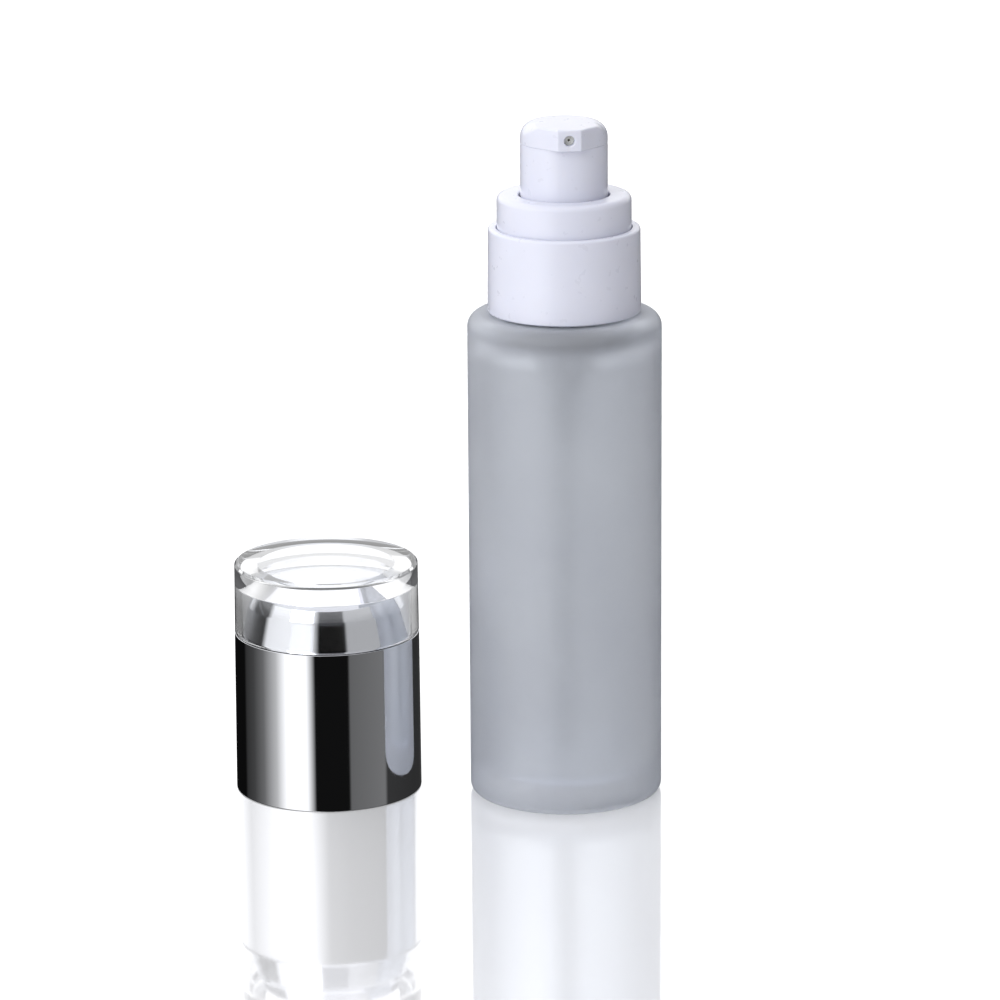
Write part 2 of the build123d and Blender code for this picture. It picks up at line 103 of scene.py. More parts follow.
class BottleSettings(bpy.types.PropertyGroup):
    """The glass."""

    segments: IntProperty(name="Segments", description="Steps round the glass", default=192)
    shoulder_height: length("Shoulder", "Top of the shoulder above the table", 79.4)
    wall: length("Wall", "Thickness of the side wall", 3.0)
    floor: length("Floor", "Height of the inner floor", 3.8)
    roof: length("Shoulder thickness", "Glass above the chamber", 3.0)
    heel: length("Heel", "Rounding of the bottom edge", 1.4)
    shoulder: length("Shoulder rounding", "Rounding of the shoulder's outer edge", 2.2)
    inner_heel: length("Inner heel", "Rounding of the inner floor's edge", 2.5)
    inner_shoulder: length("Inner shoulder", "Rounding of the chamber's upper edge", 4.0)
    push_up: length("Push-up", "Depth of the hollow under the base", 0.8)
    bearing: length("Bearing ring", "Width of the ring that the bottle stands on", 2.6)
    neck: length("Neck", "Outside radius of the neck", 8.75)
    bore: length("Bore", "Inside radius of the neck", 6.6)
    lip: length("Lip", "Rounding of the lip", 0.4)
    thread_rise: length("Thread start", "First turn above the shoulder", 4.0)
    thread_pitch: length("Thread pitch", "Rise of the thread in one turn", 3.175)
    thread_turns: FloatProperty(name="Thread turns", description="Turns of the thread", default=1.25)
    thread_depth: length("Thread depth", "How far the thread stands out", 1.0)
    tint: colour("Tint", "Colour of the frosted surface", (0.87, 0.90, 0.98))


class PumpSettings(bpy.types.PropertyGroup):
    """The white pump."""

    segments: IntProperty(name="Segments", description="Steps round each white piece", default=192)
    collar_bore: length("Collar bore", "Inside radius of the collar", 11.15)
    collar_top_radius: length("Collar top", "Radius of the collar's upper edge", 12.09)
    collar_hole: length("Collar hole", "Radius of the hole that the shroud stands in", 10.85)
    collar_edge: length("Collar edge", "Rounding of the collar's upper edge", 0.45)
    collar_lead: length("Collar lead", "Upright stretch inside the collar's foot", 2.0)
    plate: length("Plate", "Thickness of the collar's top", 1.05)
    shroud_wall: length("Shroud wall", "Thickness of the shroud's side", 1.1)
    shroud_roof: length("Shroud roof", "Thickness of the shroud's top", 1.2)
    shroud_edge: length("Shroud edge", "Rounding of the shroud's upper edge", 1.0)
    well: length("Well", "Radius of the hole round the button", 7.25)
    well_wall: length("Well wall", "Thickness of the guide well", 0.95)
    well_foot: length("Well foot", "Lower edge of the well above the shroud's foot", 1.15)
    ring_wall: length("Ring wall", "Thickness of the threaded ring's side", 1.05)
    ring_plate: length("Ring plate", "Thickness of the threaded ring's top", 1.3)
    ring_hole: length("Ring hole", "Radius of the hole round the pump body", 5.86)
    ridge: length("Ring ridge", "How far the ring's thread stands in", 0.9)
    button: length("Button", "Radius of the button", 6.93)
    button_wall: length("Button wall", "Thickness of the button's skirt", 0.98)
    button_crown: length("Button crown", "Solid part at the top of the button", 3.4)
    button_edge: length("Button edge", "Rounding of the button's upper edge", 2.5)
    nose_edge: length("Nose edge", "Rounding of the nose's upper edge", 0.3)
    nose_reach: length("Nose reach", "Front flat of the nose from the axis", 7.95)
    boss: length("Boss", "Radius of the socket's boss", 3.4)
    boss_foot: length("Boss foot", "Lower end of the boss above the skirt's edge", 2.35)
    dish_width: length("Dish width", "Finger dish, side to side", 9.8)
    dish_length: length("Dish length", "Finger dish, front to back", 6.2)
    dish_depth: length("Dish depth", "Finger dish, depth at the middle", 0.55)
    dish_shift: length("Dish shift", "Finger dish, towards the back", 1.1)
    outlet_drop: length("Outlet drop", "Outlet below the top", 1.75)
    orifice: length("Orifice", "Radius of the hole in the outlet's insert", 0.18)
    stem_fit: length("Stem fit", "Gap round the stem in the button's socket", 0.03)
    tint: colour("Tint", "Colour of the white plastic", (0.80, 0.81, 0.91))


class CapSettings(bpy.types.PropertyGroup):
    """The two-layer cap."""

    segments: IntProperty(name="Segments", description="Steps round the cap", default=256)
    rim_wall: length("Sleeve wall", "Thickness of the mirror sleeve", 0.5)
    draft: length("Sleeve draft", "How much narrower the sleeve is at its top", 0.13)
    ledge_height: length("Ledge", "Height of the ledge that carries the crown", 26.2)
    dome_ledge: length("Dome ledge", "Width of the ledge", 1.2)
    dome_shoulder: length("Dome shoulder", "How far the dome's shoulder is in from its foot", 1.1)
    dome_top: length("Dome top", "How far the dome's top is in from its foot", 2.75)
    dome_bevel: length("Dome bevel", "Height of the dome's upper slope", 3.4)
    crown_inset: length("Crown inset", "How far the crown is in from the sleeve", 0.03)
    crown_draft: length("Crown draft", "How much narrower the crown is at its top", 0.09)
    crown_bevel: length("Crown bevel", "Bevel of the crown's top edge", 0.35)
    crown_plate: length("Crown plate", "Thickness of the crown's top", 1.5)
    crown_bore_gap: length("Crown gap", "Gap round the dome's foot", 0.1)
    crown_bore_height: length("Crown bore", "Upright part of the crown's inside", 7.85)
    crown_roof: length("Crown roof", "How far the roof's edge is in from the bore", 2.75)
    liner_wall: length("Liner wall", "Thickness of the liner", 0.8)
    liner: length("Liner", "Inside radius of the liner round the collar", 12.5)
    liner_upper: length("Upper liner", "Inside radius of the liner above the collar", 11.6)
    liner_roof: length("Liner roof", "Inside radius of the liner's roof", 9.8)
    liner_step: length("Liner step", "Height of the step in the liner", 15.0)
    liner_cone: length("Liner cone", "Height of the liner's upper cone", 6.6)
    liner_plate: length("Liner plate", "Thickness of the liner's roof", 1.0)
    ribs: IntProperty(name="Ribs", description="Grip ribs inside the liner", default=8)
    rib: length("Rib", "Radius of a grip rib", 0.5)
    rib_reach: length("Rib reach", "How far a rib stands in from the wall", 0.22)
    rib_foot: length("Rib foot", "Lower end of a rib", 3.0)
    rib_length: length("Rib length", "Length of a rib", 10.0)


class StageSettings(bpy.types.PropertyGroup):
    """Floor, light and camera."""

    floor_size: FloatProperty(name="Floor", description="Side of the floor", default=8.0, unit="LENGTH")
    floor_tint: colour("Floor tint", "Colour of the pale floor", (0.93, 0.93, 0.94))
    eye_back: length("Eye back", "Camera in front of the bottle", 811.0)
    eye_left: length("Eye left", "Camera to the left of the bottle", 92.6)
    eye_height: length("Eye height", "Camera above the table", 268.2)
    turn: FloatProperty(
        name="Turn", description="Camera's turn to the right", default=math.radians(5.78), subtype="ANGLE"
    )
    dip: FloatProperty(
        name="Dip", description="How far the camera looks down", default=math.radians(15.07), subtype="ANGLE"
    )
    tilt: FloatProperty(
        name="Tilt", description="Camera's roll", default=math.radians(-0.385), subtype="ANGLE"
    )
    lens: FloatProperty(name="Lens", description="Focal length in millimetres", default=189.4)


# ------------------------------------------------------------------ modelling helpers
def deselect_all():
    """Leave edit mode and select nothing."""
    if bpy.context.object and bpy.context.object.mode != "OBJECT":
        bpy.ops.object.mode_set(mode="OBJECT")
    bpy.ops.object.select_all(action="DESELECT")


def select_only(piece):
    """Select one piece and make it active."""
    deselect_all()
    piece.select_set(True)
    bpy.context.view_layer.objects.active = piece


def rounded(corners, closed=False, steps=6):
    """Points of an outline whose corners are (radius, height) or (radius, height, rounding)."""
    count = len(corners)
    points = []
    for index, entry in enumerate(corners):
        here = Vector(entry[:2])
        size = entry[2] if len(entry) > 2 else 0.0
        at_end = not closed and index in (0, count - 1)
        if at_end or size <= 0.0:
            points.append(here)
            continue
        before = (Vector(corners[index - 1][:2]) - here).normalized()
        after = (Vector(corners[(index + 1) % count][:2]) - here).normalized()
        half = before.angle(after) / 2
        middle = here + (before + after).normalized() * size / math.sin(half)
        first = here + before * size / math.tan(half) - middle
        last = here + after * size / math.tan(half) - middle
        start = math.atan2(first.y, first.x)
        sweep = (math.atan2(last.y, last.x) - start + math.pi) % math.tau - math.pi
        for step in range(steps + 1):
            angle = start + sweep * step / steps
            points.append(middle + size * Vector((math.cos(angle), math.sin(angle))))
    if closed:
        points.append(points[0].copy())
    return points


def drawn(name, points):
    """A line through points: a plane merged to its first point, which is extruded to each next one."""
    deselect_all()
    bpy.ops.mesh.primitive_plane_add(size=MM, location=points[0])
    line = bpy.context.object
    line.name = line.data.name = name
    bpy.ops.object.mode_set(mode="EDIT")
    bpy.ops.mesh.select_mode(type="VERT")
    bpy.ops.mesh.select_all(action="SELECT")
    bpy.ops.mesh.merge(type="CENTER")
    for here, there in zip(points, points[1:]):
        bpy.ops.mesh.extrude_vertices_move(TRANSFORM_OT_translate={"value": Vector(there) - Vector(here)})
    bpy.ops.mesh.select_all(action="SELECT")
    bpy.ops.mesh.remove_doubles(threshold=0.001 * MM)
    bpy.ops.object.mode_set(mode="OBJECT")
    apply_place(line)
    return line


def turned(name, outline, centre=(0.0, 0.0), segments=192):
    """A round piece: its outline is drawn beside an upright axis and spun round it."""
    piece = drawn(name, [(centre[0] + point.x, centre[1], point.y) for point in outline])
    bpy.ops.object.mode_set(mode="EDIT")
    bpy.ops.mesh.select_all(action="SELECT")
    bpy.ops.mesh.spin(
        steps=segments, angle=math.tau, center=(centre[0], centre[1], 0.0), axis=(0.0, 0.0, 1.0)
    )
    tidy_shell()
    return piece


def close_ends():
    """In edit mode: fill the open ends of a solid and leave edit mode with a tidy shell."""
    bpy.ops.mesh.select_all(action="DESELECT")
    bpy.ops.mesh.select_mode(type="EDGE")
    bpy.ops.mesh.select_non_manifold()
    bpy.ops.mesh.fill_holes(sides=0)
    bpy.ops.mesh.select_mode(type="VERT")
    tidy_shell()


def tidy_shell():
    """In edit mode: weld what meets and point every face outwards."""
    bpy.ops.mesh.select_all(action="SELECT")
    bpy.ops.mesh.remove_doubles(threshold=0.001 * MM)
    bpy.ops.mesh.normals_make_consistent(inside=False)
    bpy.ops.object.mode_set(mode="OBJECT")


def apply_place(piece):
    """Put a piece's place into its mesh, so that its object sits at the origin."""
    select_only(piece)
    bpy.ops.object.transform_apply(location=True, rotation=True, scale=True)


THREAD_STEPS = 140
THREAD_FADE = math.radians(28)      # turn in which a thread runs out at each end
THREAD_SINK = 0.3 * MM              # how deep a thread's root is buried


def ridge_section(stands_out, sink, half_crest, half_root):
    """The four corners of a thread's section, as (outwards, upwards)."""
    return [(sink, -half_root), (stands_out, -half_crest), (stands_out, half_crest), (sink, half_root)]


def wound(name, section, at_radius, start_height, pitch, turns):
    """A thread: a section of (outwards, upwards) points wound round the bottle's axis, ends closed."""
    points = [(at_radius + out, 0.0, start_height + up) for out, up in [*section, section[0]]]
    thread = drawn(name, points)
    modifier = thread.modifiers.new("Winding", "SCREW")
    modifier.angle = math.tau * turns
    modifier.screw_offset = pitch * turns
    modifier.steps = modifier.render_steps = THREAD_STEPS
    bpy.ops.object.modifier_apply(modifier=modifier.name)
    fade_thread(thread.data, at_radius, start_height, pitch, turns)
    bpy.ops.object.mode_set(mode="EDIT")
    close_ends()
    return thread


def fade_thread(mesh, at_radius, start_height, pitch, turns):
    """Let both ends of a thread run out into the wall."""
    for vertex in mesh.vertices:
        angle = math.atan2(vertex.co.y, vertex.co.x) % math.tau
        laps = round((vertex.co.z - start_height) / pitch - angle / math.tau)
        along = angle + laps * math.tau
        end = min(along, math.tau * turns - along) / THREAD_FADE
        if end < 1.0:
            reach = math.hypot(vertex.co.x, vertex.co.y) - at_radius
            sunk = math.copysign(THREAD_SINK / 2, -reach) if abs(reach) > THREAD_SINK * 1.5 else reach
            kept = sunk + (reach - sunk) * max(end, 0.0) ** 0.5
            vertex.co.xy *= (at_radius + kept) / math.hypot(vertex.co.x, vertex.co.y)


def combine(piece, tool, operation):
    """Join a tool to a piece, or cut it out of the piece, and remove the tool."""
    select_only(piece)
    modifier = piece.modifiers.new("Combine", "BOOLEAN")
    modifier.operation = operation
    modifier.solver = "EXACT"
    modifier.object = tool
    bpy.ops.object.modifier_apply(modifier=modifier.name)
    bpy.data.objects.remove(tool)


def soften(piece, degrees=30.0):
    """Shade a piece smooth, with creases where faces meet more sharply than this."""
    select_only(piece)
    bpy.ops.object.shade_smooth_by_angle(angle=math.radians(degrees))
    modifier = piece.modifiers.new("Flat faces first", "WEIGHTED_NORMAL")
    modifier.keep_sharp = True
    bpy.ops.object.modifier_apply(modifier=modifier.name)


def finish_piece(piece, node, material=None, degrees=30.0):
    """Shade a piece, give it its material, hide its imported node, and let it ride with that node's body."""
    soften(piece, degrees)
    if not piece.data.materials:
        piece.data.materials.append(material)
    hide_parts(node)
    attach(piece, body_of(node))


def slot_of(node):
    """The record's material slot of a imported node."""
    return next(row["material_slot"] for row in frame["record"]["subparts"] if row["node"] == node)


def body_of(node):
    """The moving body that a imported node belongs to."""
    return next(name for name, nodes in frame["record"]["behaviour"]["bodies"].items() if node in nodes)


# ------------------------------------------------------------------ material helpers
class Maker:
    """Adds nodes to one material."""

    def __init__(self, name):
        self.material = bpy.data.materials.new(name)
        self.material.use_nodes = True
        self.tree = self.material.node_tree
        self.shader = self.tree.nodes["Principled BSDF"]
        self.place = self.tree.nodes.new("ShaderNodeTexCoord").outputs["Object"]

    def set(self, **values):
        """Set the shader's own sockets: words_joined_like_this name them."""
        for name, value in values.items():
            self.shader.inputs[name.replace("_", " ")].default_value = value

    def link(self, output, name):
        """Lead an output into one of the shader's sockets."""
        self.tree.links.new(output, self.shader.inputs[name])

    def noise(self, scale, detail=2.0, stretch=None):
        """Noise on the piece's own coordinates, in cells per metre."""
        node = self.tree.nodes.new("ShaderNodeTexNoise")
        node.inputs["Scale"].default_value = scale
        node.inputs["Detail"].default_value = detail
        self.tree.links.new(self.stretched(stretch), node.inputs["Vector"])
        return node.outputs["Fac"]

    def cells(self, scale):
        """Distance to the nearest cell's centre."""
        node = self.tree.nodes.new("ShaderNodeTexVoronoi")
        node.inputs["Scale"].default_value = scale
        self.tree.links.new(self.place, node.inputs["Vector"])
        return node.outputs["Distance"]

    def stretched(self, stretch):
        """The piece's coordinates, scaled along each axis."""
        if stretch is None:
            return self.place
        node = self.tree.nodes.new("ShaderNodeMapping")
        node.inputs["Scale"].default_value = stretch
        self.tree.links.new(self.place, node.inputs["Vector"])
        return node.outputs["Vector"]

    def ramp(self, source, *stops):
        """A colour ramp of (position, colour) stops; a single number is a grey."""
        node = self.tree.nodes.new("ShaderNodeValToRGB")
        elements = node.color_ramp.elements
        while len(elements) < len(stops):
            elements.new(0.5)
        for element, (position, value) in zip(elements, stops):
            element.position = position
            rgb = (value,) * 3 if isinstance(value, float) else tuple(value)
            element.color = (*rgb, 1.0)
        self.tree.links.new(source, node.inputs["Fac"])
        return node.outputs["Color"]

    def bump(self, source, depth, strength=1.0):
        """Bump of a depth in metres."""
        node = self.tree.nodes.new("ShaderNodeBump")
        node.inputs["Distance"].default_value = depth
        node.inputs["Strength"].default_value = strength
        self.tree.links.new(source, node.inputs["Height"])
        self.link(node.outputs["Normal"], "Normal")


def shade(tint, factor):
    """A tint made darker or lighter."""
    return tuple(min(1.0, channel * factor) for channel in tint)


# ------------------------------------------------------------------ materials
def frosted_glass(tint):
    """Acid-etched glass: milky, with a fine satin grain and faint clouding."""
    make = Maker("frosted_glass")
    make.set(Roughness=0.48, IOR=1.5, Transmission_Weight=0.72)
    cloud = make.noise(60.0, detail=3.0)
    make.link(make.ramp(cloud, (0.3, shade(tint, 0.94)), (0.7, shade(tint, 1.04))), "Base Color")
    make.bump(make.noise(5200.0, detail=1.0), 0.02 * MM, 0.35)
    return make.material


def inner_glass():
    """The unetched inside of the bottle."""
    make = Maker("inner_glass")
    make.set(Base_Color=(0.93, 0.95, 0.96, 1.0), IOR=1.5, Transmission_Weight=1.0)
    make.link(make.ramp(make.noise(90.0), (0.3, 0.04), (0.8, 0.10)), "Roughness")
    return make.material


def white_plastic(tint):
    """Moulded white polypropylene: soft gloss, a little light below the surface."""
    make = Maker("white_polypropylene")
    make.set(IOR=1.49, Subsurface_Weight=0.25, Subsurface_Scale=0.8 * MM)
    make.set(Subsurface_Radius=(1.0, 0.9, 0.8), Coat_Weight=0.4, Coat_Roughness=0.12)
    cloud = make.noise(120.0, detail=3.0)
    make.link(make.ramp(cloud, (0.3, shade(tint, 0.985)), (0.7, shade(tint, 1.01))), "Base Color")
    make.link(make.ramp(make.noise(700.0), (0.3, 0.27), (0.7, 0.36)), "Roughness")
    make.bump(make.noise(1500.0, detail=2.0), 0.01 * MM, 0.12)
    return make.material


def insert_plastic():
    """The darker insert inside the outlet."""
    make = Maker("outlet_insert")
    make.set(IOR=1.49)
    grain = make.noise(900.0)
    make.link(make.ramp(grain, (0.3, (0.66, 0.66, 0.60)), (0.7, (0.74, 0.74, 0.68))), "Base Color")
    make.link(make.ramp(make.noise(700.0), (0.3, 0.4), (0.7, 0.55)), "Roughness")
    return make.material


def natural_plastic():
    """Unpigmented polypropylene of the pump's working parts: milky and see-through."""
    make = Maker("natural_polypropylene")
    make.set(IOR=1.2, Transmission_Weight=0.55)
    cloud = make.noise(150.0)
    make.link(make.ramp(cloud, (0.3, (0.93, 0.94, 0.94)), (0.7, (0.98, 0.98, 0.97))), "Base Color")
    make.link(make.ramp(make.noise(600.0), (0.3, 0.28), (0.7, 0.42)), "Roughness")
    return make.material


def foam():
    """Closed-cell foam of the gasket."""
    make = Maker("foam_gasket")
    make.set(Roughness=0.8)
    cell = make.cells(2600.0)
    make.link(make.ramp(cell, (0.0, 0.72), (0.6, 0.88)), "Base Color")
    make.bump(cell, 0.06 * MM, 0.6)
    return make.material


def steel():
    """Drawn stainless steel of the spring and the ball."""
    make = Maker("stainless_steel")
    make.set(Metallic=1.0, Base_Color=(0.62, 0.62, 0.63, 1.0), Anisotropic=0.3)
    make.link(make.ramp(make.noise(2500.0, stretch=(1.0, 1.0, 0.2)), (0.3, 0.18), (0.7, 0.34)), "Roughness")
    return make.material


def mirror_metal():
    """Mirror-bright metal of the cap, with faint handling marks."""
    make = Maker("mirror_metal")
    make.set(Metallic=1.0, Base_Color=(0.83, 0.84, 0.87, 1.0))
    haze = make.noise(350.0, detail=4.0, stretch=(1.0, 1.0, 0.35))
    make.link(make.ramp(haze, (0.35, 0.03), (0.75, 0.075)), "Roughness")
    make.bump(make.noise(90.0, detail=1.0), 0.004 * MM, 0.15)
    return make.material


EDGE_GLOW = 0.05                    # strength of the emission added to the crown's upper edge
EDGE_FADE = 0.2 * MM                # height over which that glow fades out


def clear_plastic(edge_foot, edge_top):
    """Clear acrylic of the cap's crown. An emission added to its upper edge lifts parts that render black."""
    make = Maker("clear_acrylic")
    make.set(Base_Color=(0.98, 0.985, 0.995, 1.0), IOR=1.49, Transmission_Weight=1.0)
    make.set(Emission_Color=(0.96, 0.97, 1.0, 1.0))
    split = make.tree.nodes.new("ShaderNodeSeparateXYZ")
    make.tree.links.new(make.place, split.inputs["Vector"])
    stops = (
        (edge_foot - EDGE_FADE, 0.0),
        (edge_foot, EDGE_GLOW),
        (edge_top - 2 * EDGE_FADE, EDGE_GLOW),
        (edge_top - EDGE_FADE, 0.0),
    )
    make.link(make.ramp(split.outputs["Z"], *stops), "Emission Strength")
    make.link(make.ramp(make.noise(200.0, detail=3.0), (0.4, 0.0), (0.9, 0.03)), "Roughness")
    return make.material


def liner_plastic():
    """White liner inside the cap."""
    make = Maker("liner_polypropylene")
    make.set(IOR=1.49, Subsurface_Weight=0.15, Subsurface_Scale=0.6 * MM)
    make.link(make.ramp(make.noise(150.0), (0.3, 0.80), (0.7, 0.86)), "Base Color")
    make.link(make.ramp(make.noise(600.0), (0.3, 0.35), (0.7, 0.48)), "Roughness")
    return make.material


# ------------------------------------------------------------------ operators
CHAMBER_MARGIN = 0.1 * MM           # slack within which a face counts as the chamber's


class FOUNDATION_OT_bottle(bpy.types.Operator):
    """Model the frosted glass bottle with its threaded neck"""

    bl_idname = "foundation.bottle"
    bl_label = "Glass Bottle"

    def execute(self, context):
        size = context.scene.foundation_bottle
        outer = radius("bottle")
        inner = outer - size.wall
        lip = top("bottle")
        chamber_top = size.shoulder_height - size.roof
        ring_inside = outer - size.heel - size.bearing
        outline = rounded(
            [
                (0.0, size.push_up),
                (ring_inside - 2 * size.push_up, size.push_up, 2 * size.push_up),
                (ring_inside, 0.0, 0.35 * size.heel),
                (outer, 0.0, size.heel),
                (outer, size.shoulder_height, size.shoulder),
                (size.neck, size.shoulder_height, 1.5 * size.lip),
                (size.neck, lip, size.lip),
                (size.bore, lip, size.lip),
                (size.bore, chamber_top, 3 * size.lip),
                (inner, chamber_top, size.inner_shoulder),
                (inner, size.floor, size.inner_heel),
                (0.0, size.floor),
            ],
            steps=10,
        )
        piece = turned("glass_bottle", outline, segments=size.segments)
        thread = wound(
            "bottle_thread",
            ridge_section(size.thread_depth, -THREAD_SINK, half_crest=0.4 * MM, half_root=0.75 * MM),
            size.neck,
            size.shoulder_height + size.thread_rise,
            size.thread_pitch,
            size.thread_turns,
        )
        combine(piece, thread, "UNION")
        piece.data.materials.clear()
        piece.data.materials.append(frosted_glass(size.tint))
        piece.data.materials.append(inner_glass())
        middle_of_neck = (size.neck + size.bore) / 2
        for face in piece.data.polygons:
            out = math.hypot(face.center.x, face.center.y)
            height = face.center.z
            in_reach = size.floor - CHAMBER_MARGIN < height < chamber_top + CHAMBER_MARGIN
            in_chamber = in_reach and out < inner + CHAMBER_MARGIN
            in_bore = out < middle_of_neck and height >= chamber_top
            face.material_index = 1 if in_chamber or in_bore else 0
        finish_piece(piece, "bottle")
        return {"FINISHED"}


class FOUNDATION_OT_rings(bpy.types.Operator):
    """Model the white collar, the shroud and the threaded ring inside them"""

    bl_idname = "foundation.rings"
    bl_label = "Collar, Shroud and Ring"

    def execute(self, context):
        size = context.scene.foundation_pump
        glass = context.scene.foundation_bottle
        white = white_plastic(size.tint)
        low, high = foot("collar"), top("collar")
        collar = turned(
            "pump_collar",
            rounded(
                [
                    (size.collar_bore, low + size.collar_lead),
                    (size.collar_bore, low, 0.2 * MM),
                    (radius("collar"), low, 0.25 * MM),
                    (size.collar_top_radius, high, size.collar_edge),
                    (size.collar_hole, high, 0.12 * MM),
                    (size.collar_hole, high - size.plate, 0.1 * MM),
                    (size.collar_bore, high - size.plate),
                ],
                closed=True,
            ),
            segments=size.segments,
        )
        finish_piece(collar, "collar", white)

        low, high, outer = foot("shroud"), top("shroud"), radius("shroud")
        inner = outer - size.shroud_wall
        well_foot = low + size.well_foot
        shroud = turned(
            "pump_shroud",
            rounded(
                [
                    (inner, low),
                    (outer, low, 0.15 * MM),
                    (outer, high, size.shroud_edge),
                    (size.well, high, 0.3 * MM),
                    (size.well, well_foot, 0.15 * MM),
                    (size.well + size.well_wall, well_foot, 0.15 * MM),
                    (size.well + size.well_wall, high - size.shroud_roof),
                    (inner, high - size.shroud_roof),
                ],
                closed=True,
            ),
            segments=size.segments,
        )
        finish_piece(shroud, "shroud", white)

        low, high, outer = foot("inner_ring"), top("inner_ring"), radius("inner_ring")
        inner = outer - size.ring_wall
        ring = turned(
            "threaded_ring",
            rounded(
                [
                    (inner, low, 0.15 * MM),
                    (outer, low, 0.15 * MM),
                    (outer, high, 0.3 * MM),
                    (size.ring_hole, high, 0.15 * MM),
                    (size.ring_hole, high - size.ring_plate),
                    (inner, high - size.ring_plate),
                ],
                closed=True,
            ),
            segments=size.segments,
        )
        ridge = wound(
            "ring_ridge",
            ridge_section(-size.ridge, THREAD_SINK, half_crest=0.3 * MM, half_root=0.55 * MM),
            inner,
            glass.shoulder_height + glass.thread_rise - glass.thread_pitch / 2,
            glass.thread_pitch,
            glass.thread_turns,
        )
        combine(ring, ridge, "UNION")
        finish_piece(ring, "inner_ring", white)
        return {"FINISHED"}


NOSE_CORNER = 0.125 * MM            # softness of the nose's upright corners
NOSE_SIDE = math.pi / 4             # turn from straight ahead at which the nose's sides start
EDGE_SHARP_UNTIL = math.radians(38)  # turn up to which the upper edge keeps the nose's rounding
EDGE_ROUND_FROM = math.radians(75)  # turn from which the upper edge has its full rounding
SAME_PLACE = 0.01 * MM              # points nearer than this count as level
CUT_OVERSHOOT = 0.6 * MM            # how far a cutter runs past the face that it cuts
MOUTH_BEVEL_DEPTH = 0.12 * MM       # depth of the bevel round the outlet
MOUTH_FLARE = 0.3 * MM              # how much wider the drill gets in front of that bevel
DISH_OVERREACH = 0.6                # half of the cutter, as a share of the dish's full size
DISH_STEPS = 40


def button_reach(angle, inset, size):
    """Distance from the axis to the button's upper wall: round at the back, with a blunt nose in front."""
    front = abs(angle)
    if front >= NOSE_SIDE:
        return size.button - inset
    facet = (size.button - inset) / math.cos(front - NOSE_SIDE)
    flat = (size.nose_reach - inset) / math.cos(front)
    overlap = max(NOSE_CORNER - abs(facet - flat), 0.0) / NOSE_CORNER
    return min(facet, flat) - overlap**2 * NOSE_CORNER / 4


def edge_rounding(angle, size):
    """Rounding of the button's upper edge: small round the nose, full at the sides and back."""
    along = (abs(angle) - EDGE_SHARP_UNTIL) / (EDGE_ROUND_FROM - EDGE_SHARP_UNTIL)
    along = min(max(along, 0.0), 1.0)
    return size.nose_edge + (size.button_edge - size.nose_edge) * along**2 * (3 - 2 * along)


def pull_nose(mesh, size, underside, high):
    """Pull the front of a round button out into its nose."""
    arc_foot = high - size.button_edge
    arc_middle = size.button - size.button_edge
    for vertex in mesh.vertices:
        out = math.hypot(vertex.co.x, vertex.co.y)
        if vertex.co.z < underside + SAME_PLACE or out < arc_middle - SAME_PLACE:
            continue
        angle = math.atan2(vertex.co.x, -vertex.co.y)
        if vertex.co.z <= arc_foot - SAME_PLACE:
            reach = button_reach(angle, size.button - out, size)
        else:
            bend = math.atan2(vertex.co.z - arc_foot, out - arc_middle)
            edge = edge_rounding(angle, size)
            reach = button_reach(angle, edge * (1 - math.cos(bend)), size)
            vertex.co.z = high - edge + edge * math.sin(bend)
        vertex.co.x *= reach / out
        vertex.co.y *= reach / out


def dish_cutter(size, high):
    """A barrel-shaped cutter whose underside is the finger dish."""
    across = size.dish_width**2 / (8 * size.dish_depth)
    along = size.dish_length**2 / (8 * size.dish_depth)
    low = high - size.dish_depth
    half = math.asin(DISH_OVERREACH * size.dish_length / along)
    swing = math.asin(DISH_OVERREACH * size.dish_width / across)
    arc = []
    for step in range(DISH_STEPS + 1):
        turn = half * (2 * step / DISH_STEPS - 1)
        arc.append((along * math.sin(turn), low + along * (1 - math.cos(turn))))
    lid = high + 2 * CUT_OVERSHOOT
    outline = [*arc, (arc[-1][0], lid), (arc[0][0], lid), arc[0]]
    cutter = drawn("dish_cutter", [(0.0, size.dish_shift + back, height) for back, height in outline])
    pivot = Vector((0.0, 0.0, low + across))
    swung = Matrix.Translation(pivot) @ Matrix.Rotation(-swing, 4, "Y") @ Matrix.Translation(-pivot)
    cutter.data.transform(swung)
    bpy.ops.object.mode_set(mode="EDIT")
    bpy.ops.mesh.select_all(action="SELECT")
    bpy.ops.mesh.spin(steps=DISH_STEPS, angle=2 * swing, center=pivot, axis=(0.0, 1.0, 0.0))
    close_ends()
    return cutter


def laid_forward(piece, height):
    """Lay a piece that was turned on the upright axis so that its top faces the front at a height."""
    piece.rotation_euler.x = math.pi / 2
    piece.location.z = height
    apply_place(piece)


